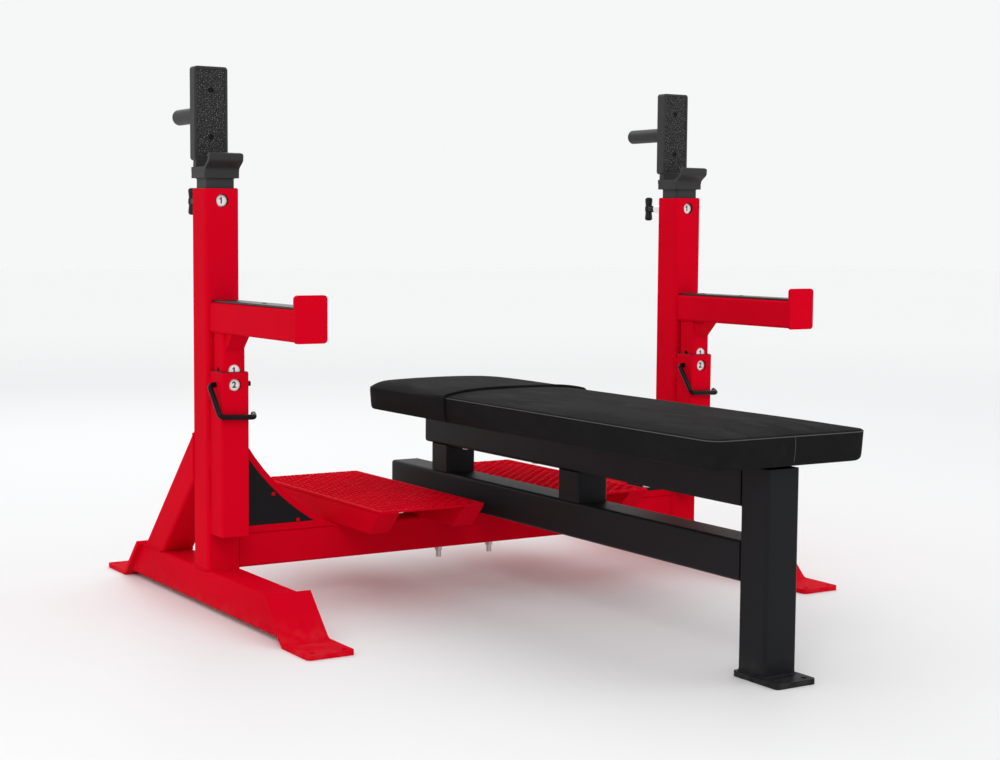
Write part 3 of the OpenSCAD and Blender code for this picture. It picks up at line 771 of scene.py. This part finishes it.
def number_disc(digit, centre, name_root):
    """A white position disc with a thin black ring and a bold digit, facing -Y."""
    r = DISC_RADIUS
    drop_selection()
    bpy.ops.mesh.primitive_cylinder_add(vertices=40, radius=r, depth=0.0004, location=centre,
                                        rotation=(math.pi / 2, 0, 0))
    disc = bpy.context.object
    settle(disc, name_root + "_disc")
    front = min(v.co.y for v in disc.data.vertices)
    cut_shape(disc, lambda f: f.normal.y < -0.9, "FACE")
    bpy.ops.mesh.inset(thickness=0.0008)
    bpy.ops.mesh.inset(thickness=0.0006)
    leave_edit(False)
    disc.data.materials.append(FINISH["label_white"])
    disc.data.materials.append(FINISH["label_black"])
    for face in disc.data.polygons:
        away = max((Vector(disc.data.vertices[i].co) - Vector(centre)).length for i in face.vertices)
        near = min((Vector(disc.data.vertices[i].co) - Vector(centre)).length for i in face.vertices)
        ring = len(face.vertices) == 4 and away < r - 0.0006 and near > r - 0.0016
        face.material_index = 1 if ring and face.normal.y < -0.9 else 0
    bpy.ops.object.text_add(location=(centre[0], front + 0.00002, centre[2]), rotation=(math.pi / 2, 0, 0))
    text = bpy.context.object
    text.data.body = str(digit)
    text.data.size = DIGIT_SIZE
    text.data.align_x = "CENTER"
    text.data.align_y = "CENTER"
    text.data.offset = DIGIT_BOLD
    text.data.extrude = 0.00008
    pick(text)
    bpy.ops.object.convert(target="MESH")
    text = bpy.context.object
    settle(text, name_root + "_digit")
    if digit == 1:
        bpy.ops.mesh.primitive_cube_add(size=1, location=(centre[0] - 0.0021, front, centre[2] + 0.0044),
                                        rotation=(0, math.radians(-38), 0))
        flag = bpy.context.object
        flag.scale = (0.0046, 0.0003, 0.0020)
        settle(flag, name_root + "_flag")
        text = merge([text, flag], name_root + "_digit")
    text.data.materials.clear()
    text.data.materials.append(FINISH["label_black"])
    pick(disc, text)
    bpy.ops.object.join()
    return disc


class BENCHPRESS_OT_numbers(bpy.types.Operator):
    """Stick the position discs in their recesses on the rack and arm posts"""
    bl_idname = "benchpress.numbers"
    bl_label = "Position discs"

    def execute(self, context):
        for side, sign in SIDES:
            for post, body, first, shown in (
                    ("rack_post_", "rack_", hi("upright_" + side).z - WINDOW_BELOW_TOP, 1),
                    ("safety_post_", "safety_", hi("receiver_" + side).z - PIN_BELOW_TOP, SHOWN_ARM)):
                node = post + side
                face = lo(node).y
                x = mid(node).x
                discs = []
                for i in range(1, STEPS + 2):
                    z = first + (shown - i) * PITCH
                    discs.append(number_disc(i, (x, face + 0.00036, z), f"{node}_{i}"))
                whole = merge(discs, node + "_numbers")
                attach(whole, body + side)
        return {"FINISHED"}


class BENCHPRESS_OT_tread(bpy.types.Operator):
    """Raise the tread lugs on both spotter decks"""
    bl_idname = "benchpress.tread"
    bl_label = "Deck tread"

    def execute(self, context):
        pitch = context.scene.bench_press.lug_pitch
        low, high = lo("deck_tread_left"), hi("deck_tread_left")
        cols = int((high.x - low.x - TREAD_MARGIN) / pitch)
        rows = int((high.y - low.y - TREAD_MARGIN) / pitch)
        start = Vector(((low.x + high.x) / 2 - (cols - 1) * pitch / 2,
                        (low.y + high.y) / 2 - (rows - 1) * pitch / 2, high.z))
        lugs = []
        for x0, y0 in ((0, 0), (1, 1), (1, 0), (0, 1)):
            spot = start + Vector((x0 * pitch, y0 * pitch, 0))
            drop_selection()
            bpy.ops.mesh.primitive_cylinder_add(vertices=12, radius=0.5, depth=1)
            lug = bpy.context.object
            lug.scale = (pitch * LUG_LENGTH, LUG_WIDTH, LUG_DEPTH)
            settle(lug, "lug_run")
            cut_shape(lug, lambda f: f.normal.z > 0.9, "FACE")
            bpy.ops.transform.resize(value=(0.74, 0.5, 1), center_override=(0, 0, 0))
            leave_edit(True, 25)
            lug.rotation_euler = (0, 0, math.radians(45 if x0 == y0 else -45))
            lug.location = spot
            settle(lug, "lug_run")
            across, down = (cols - x0 + 1) // 2, (rows - y0 + 1) // 2
            for count, way in ((across, (2 * pitch, 0, 0)), (down, (0, 2 * pitch, 0))):
                pick(lug)
                bpy.ops.object.modifier_add(type="ARRAY")
                array = lug.modifiers[-1]
                array.count = count
                array.use_relative_offset = False
                array.use_constant_offset = True
                array.constant_offset_displace = way
                bpy.ops.object.modifier_apply(modifier=array.name)
            lugs.append(lug)
        left = merge(lugs, "deck_lugs_left")
        right = copy_of(left, "deck_lugs_right", mirror_x=True)
        for obj in (left, right):
            dress(obj, "frame", "red_powder_coat")
        return {"FINISHED"}


class BENCHPRESS_OT_pins(bpy.types.Operator):
    """Bend the hitch pins' rods"""
    bl_idname = "benchpress.pins"
    bl_label = "Hitch pins"

    def execute(self, context):
        for side, sign in SIDES:
            node = "hitch_pin_" + side
            low, high = lo(node), hi(node)
            x = sign * abs(mid("upright_" + side).x)
            y = mid("receiver_" + side).y
            z = hi("receiver_" + side).z - PIN_BELOW_TOP
            path = [(0.046, 0, 0), (-0.045, 0, 0), (-0.038, -0.041, -0.064), (0.038, -0.041, -0.067),
                    (0.043, -0.024, -0.062)]
            path = [Vector(p) + Vector((x, y, z)) for p in path]
            bar = rod(rounded_line(path, HITCH_BEND), HITCH_ROD_RADIUS, "hitch_rod_" + side, sides=5)
            cut_shape(bar, lambda f: f.normal.x > 0.95 and f.calc_center_median().x > high.x - 0.002, "FACE")
            bpy.ops.mesh.inset(thickness=0.001)
            leave_edit(True, 50)
            dress(bar, "hitch_pin_" + side, "black_oxide_rod")
            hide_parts(node)
        return {"FINISHED"}


def screw_head(centre, radius, height, name, facing):
    """A domed socket screw's head, standing on a face."""
    drop_selection()
    bpy.ops.mesh.primitive_cylinder_add(vertices=32, radius=radius, depth=height, location=(0, 0, height / 2))
    head = bpy.context.object
    settle(head, name)
    cut_shape(head, lambda e: all(v.co.z > height * 0.9 for v in e.verts), "EDGE")
    bpy.ops.mesh.bevel(offset=height * 0.5, segments=4, affect="EDGES")
    cut_shape(head, lambda f: f.normal.z > 0.95 and f.calc_center_median().length < height + 0.001, "FACE")
    bpy.ops.mesh.inset(thickness=radius * 0.22)
    bpy.ops.mesh.extrude_region_move(TRANSFORM_OT_translate={"value": (0, 0, -height * 0.45)})
    leave_edit(True, 35)
    turn = Vector((0, 0, 1)).rotation_difference(Vector(facing))
    head.rotation_mode = "QUATERNION"
    head.rotation_quaternion = turn
    head.location = centre
    return settle(head, name)


class BENCHPRESS_OT_screws(bpy.types.Operator):
    """Fit the saddle pads' screws, the panel rivets and the arm strips' screws"""
    bl_idname = "benchpress.screws"
    bl_label = "Screws and rivets"

    def execute(self, context):
        for side, sign in SIDES:
            tray = "rack_tray_" + side
            pad = "rack_pad_" + side
            centre = mid(tray)
            quarter = (hi(tray).z - lo(tray).z) / 4
            heads = [screw_head((centre.x, lo(pad).y + 0.0031, centre.z + s * quarter), 0.0054, 0.0022,
                                f"saddle_screw_{side}_{i}", (0, -1, 0)) for i, s in enumerate((-1, 1))]
            dress(merge(heads, "saddle_screws_" + side), "rack_" + side, "zinc_plated_steel",
                  "black_oxide_rod")
            strip = "arm_strip_" + side
            c, top = mid(strip), hi(strip).z
            heads = [screw_head((c.x, y, top - 0.0004), 0.0052, 0.0016, f"strip_screw_{side}_{i}", (0, 0, 1))
                     for i, y in enumerate((lo(strip).y + 0.03, c.y, hi(strip).y - 0.06))]
            dress(merge(heads, "strip_screws_" + side), "safety_" + side, "zinc_plated_steel",
                  "black_oxide_rod")
            gusset = "gusset_" + side
            x0 = sign * (abs(mid("upright_" + side).x) - (hi("upright_left").x - lo("upright_left").x) / 2)
            z0 = lo(gusset).z
            face = lo(gusset).y
            heads = [screw_head((x0 - sign * dx, face + 0.0001, z0 + dz), 0.0042, 0.0024,
                                f"panel_rivet_{side}_{i}", (0, -1, 0))
                     for i, (dx, dz) in enumerate(((0.076, 0.078), (0.134, 0.018)))]
            dress(merge(heads, "panel_rivets_" + side), "frame", "red_powder_coat")
        return {"FINISHED"}


def bead(points, size, name, closed=False):
    return rod(along(points, BEAD_STEP, closed), size, name, closed, ripple=BEAD_RIPPLE, sides=1)


class BENCHPRESS_OT_welds(bpy.types.Operator):
    """Run the weld beads along the frame's joints"""
    bl_idname = "benchpress.welds"
    bl_label = "Weld beads"

    def execute(self, context):
        w = context.scene.bench_press.weld_size
        for side, sign in SIDES:
            red = []
            up_lo, up_hi = lo("upright_" + side), hi("upright_" + side)
            x0, x1 = up_lo.x + 0.004, up_hi.x - 0.004
            base = up_lo.z
            red.append([(x0, up_lo.y, base), (x1, up_lo.y, base)])
            inner = up_hi.x if sign < 0 else up_lo.x
            outer = up_lo.x if sign < 0 else up_hi.x
            red.append([(outer, up_lo.y + 0.004, base), (outer, up_hi.y - 0.004, base)])
            cross = hi("cross_member").z
            red.append([(inner, up_lo.y, base + 0.006), (inner, up_lo.y, cross - 0.006)])
            red.append([(inner, up_hi.y, base + 0.006), (inner, up_hi.y, cross - 0.006)])
            rec_lo, rec_hi = lo("receiver_" + side), hi("receiver_" + side)
            rec_mid = mid("receiver_" + side).z
            for x in (rec_lo.x, rec_hi.x):
                for a, b in ((rec_lo.z, rec_lo.z + 0.06), (rec_mid - 0.03, rec_mid + 0.03),
                             (rec_hi.z - 0.06, rec_hi.z - 0.012)):
                    red.append([(x, up_lo.y - 0.0008, a), (x, up_lo.y - 0.0008, b)])
            br_hi, br_lo = hi("brace_" + side), lo("brace_" + side)
            red.append([(x0, up_hi.y, br_hi.z), (x1, up_hi.y, br_hi.z)])
            red.append([(x0, br_hi.y, base), (x1, br_hi.y, base)])
            for x in (br_lo.x, br_hi.x):
                red.append([(x, up_hi.y, br_hi.z - 0.006), (x, up_hi.y, br_hi.z - 0.1)])
                red.append([(x, br_hi.y - 0.006, base), (x, br_hi.y - 0.1, base)])
            g_lo, g_hi = lo("gusset_" + side), hi("gusset_" + side)
            for y in (g_lo.y, g_hi.y):
                red.append([(inner, y, cross + 0.004), (inner, y, g_hi.z - 0.004)])
                tip = g_hi.x if sign < 0 else g_lo.x
                red.append([(inner, y, cross), (tip, y, cross)])
            for end, face in (("front", -1), ("rear", 1)):
                foot = f"{end}_foot_{side}"
                y = (lo(foot).y if face > 0 else hi(foot).y)
                z = hi(foot).z
                red.append([(x0, y + face * 0.001, z - 0.0065), (x1, y + face * 0.001, z - 0.0065)])
            deck_lo, deck_hi = lo("deck_rails_" + side), hi("deck_rails_" + side)
            rail = 0.050
            for a, b in ((deck_lo.x, deck_lo.x + rail), (deck_hi.x - rail, deck_hi.x)):
                for y in (up_lo.y, up_hi.y):
                    red.append([(a + 0.003, y, deck_lo.z), (b - 0.003, y, deck_lo.z)])
            beads = [bead(line, w, "bead") for line in red]
            dress(merge(beads, "frame_welds_" + side), "frame", "red_powder_coat")

            arm_lo, arm_hi = lo("safety_arm_" + side), hi("safety_arm_" + side)
            end_y = hi("arm_end_" + side).y
            z0, z1 = hi("safety_post_" + side).z, arm_hi.z
            ring = [(arm_lo.x + 0.004, end_y, z0), (arm_hi.x - 0.004, end_y, z0),
                    (arm_hi.x, end_y, z0 + 0.004), (arm_hi.x, end_y, z1 - 0.004),
                    (arm_hi.x - 0.004, end_y, z1), (arm_lo.x + 0.004, end_y, z1),
                    (arm_lo.x, end_y, z1 - 0.004), (arm_lo.x, end_y, z0 + 0.004)]
            beads = [bead(ring, w, "bead", True)]
            p_lo, p_hi = lo("safety_post_" + side), hi("safety_post_" + side)
            for x in (p_lo.x + 0.0045, p_hi.x - 0.0045):
                beads.append(bead([(x, p_lo.y, z0 - 0.036), (x, p_lo.y, z0 - 0.004)], w * 0.8, "bead"))
            for y in (p_lo.y, p_hi.y):
                beads.append(bead([(p_lo.x + 0.004, y, z0), (p_hi.x - 0.004, y, z0)], w * 0.8, "bead"))
            for x in (p_lo.x, p_hi.x):
                beads.append(bead([(x, p_lo.y + 0.004, z0), (x, p_hi.y - 0.004, z0)], w * 0.8, "bead"))
            dress(merge(beads, "arm_welds_" + side), "safety_" + side, "red_powder_coat")

            peg = mid("rack_peg_" + side)
            root_y = hi("rack_tray_" + side).y
            r = (hi("rack_peg_" + side).x - lo("rack_peg_" + side).x) / 2
            ring = [(peg.x + r * math.cos(a), root_y, peg.z + r * math.sin(a)) for a in
                    [2 * math.pi * i / 36 for i in range(36)]]
            beads = [bead(ring, w * 0.8, "bead", True)]
            col = hi("rack_post_" + side).z
            q_lo, q_hi = lo("rack_post_" + side), hi("rack_post_" + side)
            ring = [(q_lo.x + 0.006, q_lo.y, col), (q_hi.x - 0.006, q_lo.y, col),
                    (q_hi.x, q_lo.y + 0.006, col), (q_hi.x, q_hi.y - 0.006, col),
                    (q_hi.x - 0.006, q_hi.y, col), (q_lo.x + 0.006, q_hi.y, col),
                    (q_lo.x, q_hi.y - 0.006, col), (q_lo.x, q_lo.y + 0.006, col)]
            beads.append(bead(ring, w * 0.7, "bead", True))
            dress(merge(beads, "rack_welds_" + side), "rack_" + side, "charcoal_powder_coat")

        black = []
        leg_lo, leg_hi = lo("bench_leg"), hi("bench_leg")
        plate = hi("bench_foot_plate").z

        def ring_at(a, b, z):
            c = 0.005
            return [(a.x + c, a.y, z), (b.x - c, a.y, z), (b.x, a.y + c, z), (b.x, b.y - c, z),
                    (b.x - c, b.y, z), (a.x + c, b.y, z), (a.x, b.y - c, z), (a.x, a.y + c, z)]

        black.append((ring_at(leg_lo, leg_hi, plate), True))
        for node in ("bench_head_spacer", "bench_mid_spacer"):
            a, b = lo(node), hi(node)
            for z in (a.z, b.z):
                black.append(([(a.x + 0.005, a.y, z), (b.x - 0.005, a.y, z)], False))
                black.append(([(a.x + 0.005, b.y, z), (b.x - 0.005, b.y, z)], False))
        for node in ("bench_lower_beam", "bench_upper_rail"):
            a, b = lo(node), hi(node)
            y = leg_hi.y
            black.append(([(a.x + 0.005, y, a.z), (b.x - 0.005, y, a.z)], False))
            if node == "bench_lower_beam":
                black.append(([(a.x + 0.005, y, b.z), (b.x - 0.005, y, b.z)], False))
        m_lo, m_hi = lo("bench_mount_plate"), hi("bench_mount_plate")
        b_lo, b_hi = lo("bench_lower_beam"), hi("bench_lower_beam")
        for x in (b_lo.x, b_hi.x):
            black.append(([(x, m_lo.y + 0.004, m_hi.z), (x, m_hi.y - 0.004, m_hi.z)], False))
        beads = [bead(line, w, "bead", closed) for line, closed in black]
        dress(merge(beads, "bench_welds"), "frame", "black_powder_coat")
        return {"FINISHED"}


class BENCHPRESS_OT_stage(bpy.types.Operator):
    """Set the floor, the soft lights and the camera"""
    bl_idname = "benchpress.stage"
    bl_label = "Stage"

    def execute(self, context):
        drop_selection()
        bpy.ops.mesh.primitive_plane_add(size=60, location=(0, 0, -0.0005))
        floor = settle(bpy.context.object, "floor")
        floor.data.materials.append(floor_paint("PaleFloor", (0.875, 0.875, 0.88)))
        world = bpy.data.worlds.new("PaleStudio")
        world.use_nodes = True
        backdrop = world.node_tree.nodes["Background"]
        backdrop.inputs["Color"].default_value = (0.97, 0.975, 0.98, 1)
        backdrop.inputs["Strength"].default_value = 0.95
        context.scene.world = world
        context.scene.view_settings.view_transform = "Standard"
        for name, place, aim, size, power in (
                ("key", (-2.6, -3.6, 3.6), (0, -0.3, 0.4), 2.2, 45),
                ("fill", (3.2, -2.4, 2.6), (0, -0.3, 0.4), 2.6, 12),
                ("back", (0.5, 3.4, 3.2), (0, -0.3, 0.5), 2.4, 25)):
            bpy.ops.object.light_add(type="AREA", location=place)
            lamp = bpy.context.object
            lamp.name = name
            lamp.data.shape = "DISK"
            lamp.data.size = size
            lamp.data.energy = power
            lamp.rotation_euler = (Vector(aim) - Vector(place)).to_track_quat("-Z", "Y").to_euler()
        yaw, pitch, roll = (math.radians(a) for a in CAMERA_TURN)
        ahead = Vector((-math.sin(yaw) * math.cos(pitch), math.cos(yaw) * math.cos(pitch), math.sin(pitch)))
        right = Vector((math.cos(yaw), math.sin(yaw), 0))
        above = right.cross(ahead)
        r2 = right * math.cos(roll) + above * math.sin(roll)
        u2 = above * math.cos(roll) - right * math.sin(roll)
        turn = Matrix((r2, u2, -ahead)).transposed()
        bpy.ops.object.camera_add(location=CAMERA_PLACE, rotation=turn.to_euler())
        camera = bpy.context.object
        camera.data.sensor_width = 36
        camera.data.lens = CAMERA_LENS
        camera.data.clip_end = 100
        context.scene.camera = camera
        return {"FINISHED"}


class BENCHPRESS_PT_panel(bpy.types.Panel):
    """Sidebar list of the finishing steps"""
    bl_idname = "BENCHPRESS_PT_panel"
    bl_label = "Bench Press"
    bl_space_type = "VIEW_3D"
    bl_region_type = "UI"
    bl_category = "Bench Press"

    def draw(self, context):
        column = self.layout.column()
        for name in BenchPressSettings.__annotations__:
            column.prop(context.scene.bench_press, name)
        for step in STEPS_IN_ORDER:
            column.operator(step.bl_idname)


STEPS_IN_ORDER = (
    BENCHPRESS_OT_paint, BENCHPRESS_OT_stage, BENCHPRESS_OT_pad, BENCHPRESS_OT_pad_trim,
    BENCHPRESS_OT_numbers, BENCHPRESS_OT_tread, BENCHPRESS_OT_pins, BENCHPRESS_OT_screws, BENCHPRESS_OT_welds)
CLASSES = (BenchPressSettings,) + STEPS_IN_ORDER + (BENCHPRESS_PT_panel,)


def register():
    for each in CLASSES:
        bpy.utils.register_class(each)
    bpy.types.Scene.bench_press = PointerProperty(type=BenchPressSettings)


def unregister():
    del bpy.types.Scene.bench_press
    for each in reversed(CLASSES):
        bpy.utils.unregister_class(each)


def main():
    register()
    for step in STEPS_IN_ORDER:
        group, name = step.bl_idname.split(".")
        getattr(getattr(bpy.ops, group), name)()
    drop_selection()


if __name__ == "__main__":
    main()
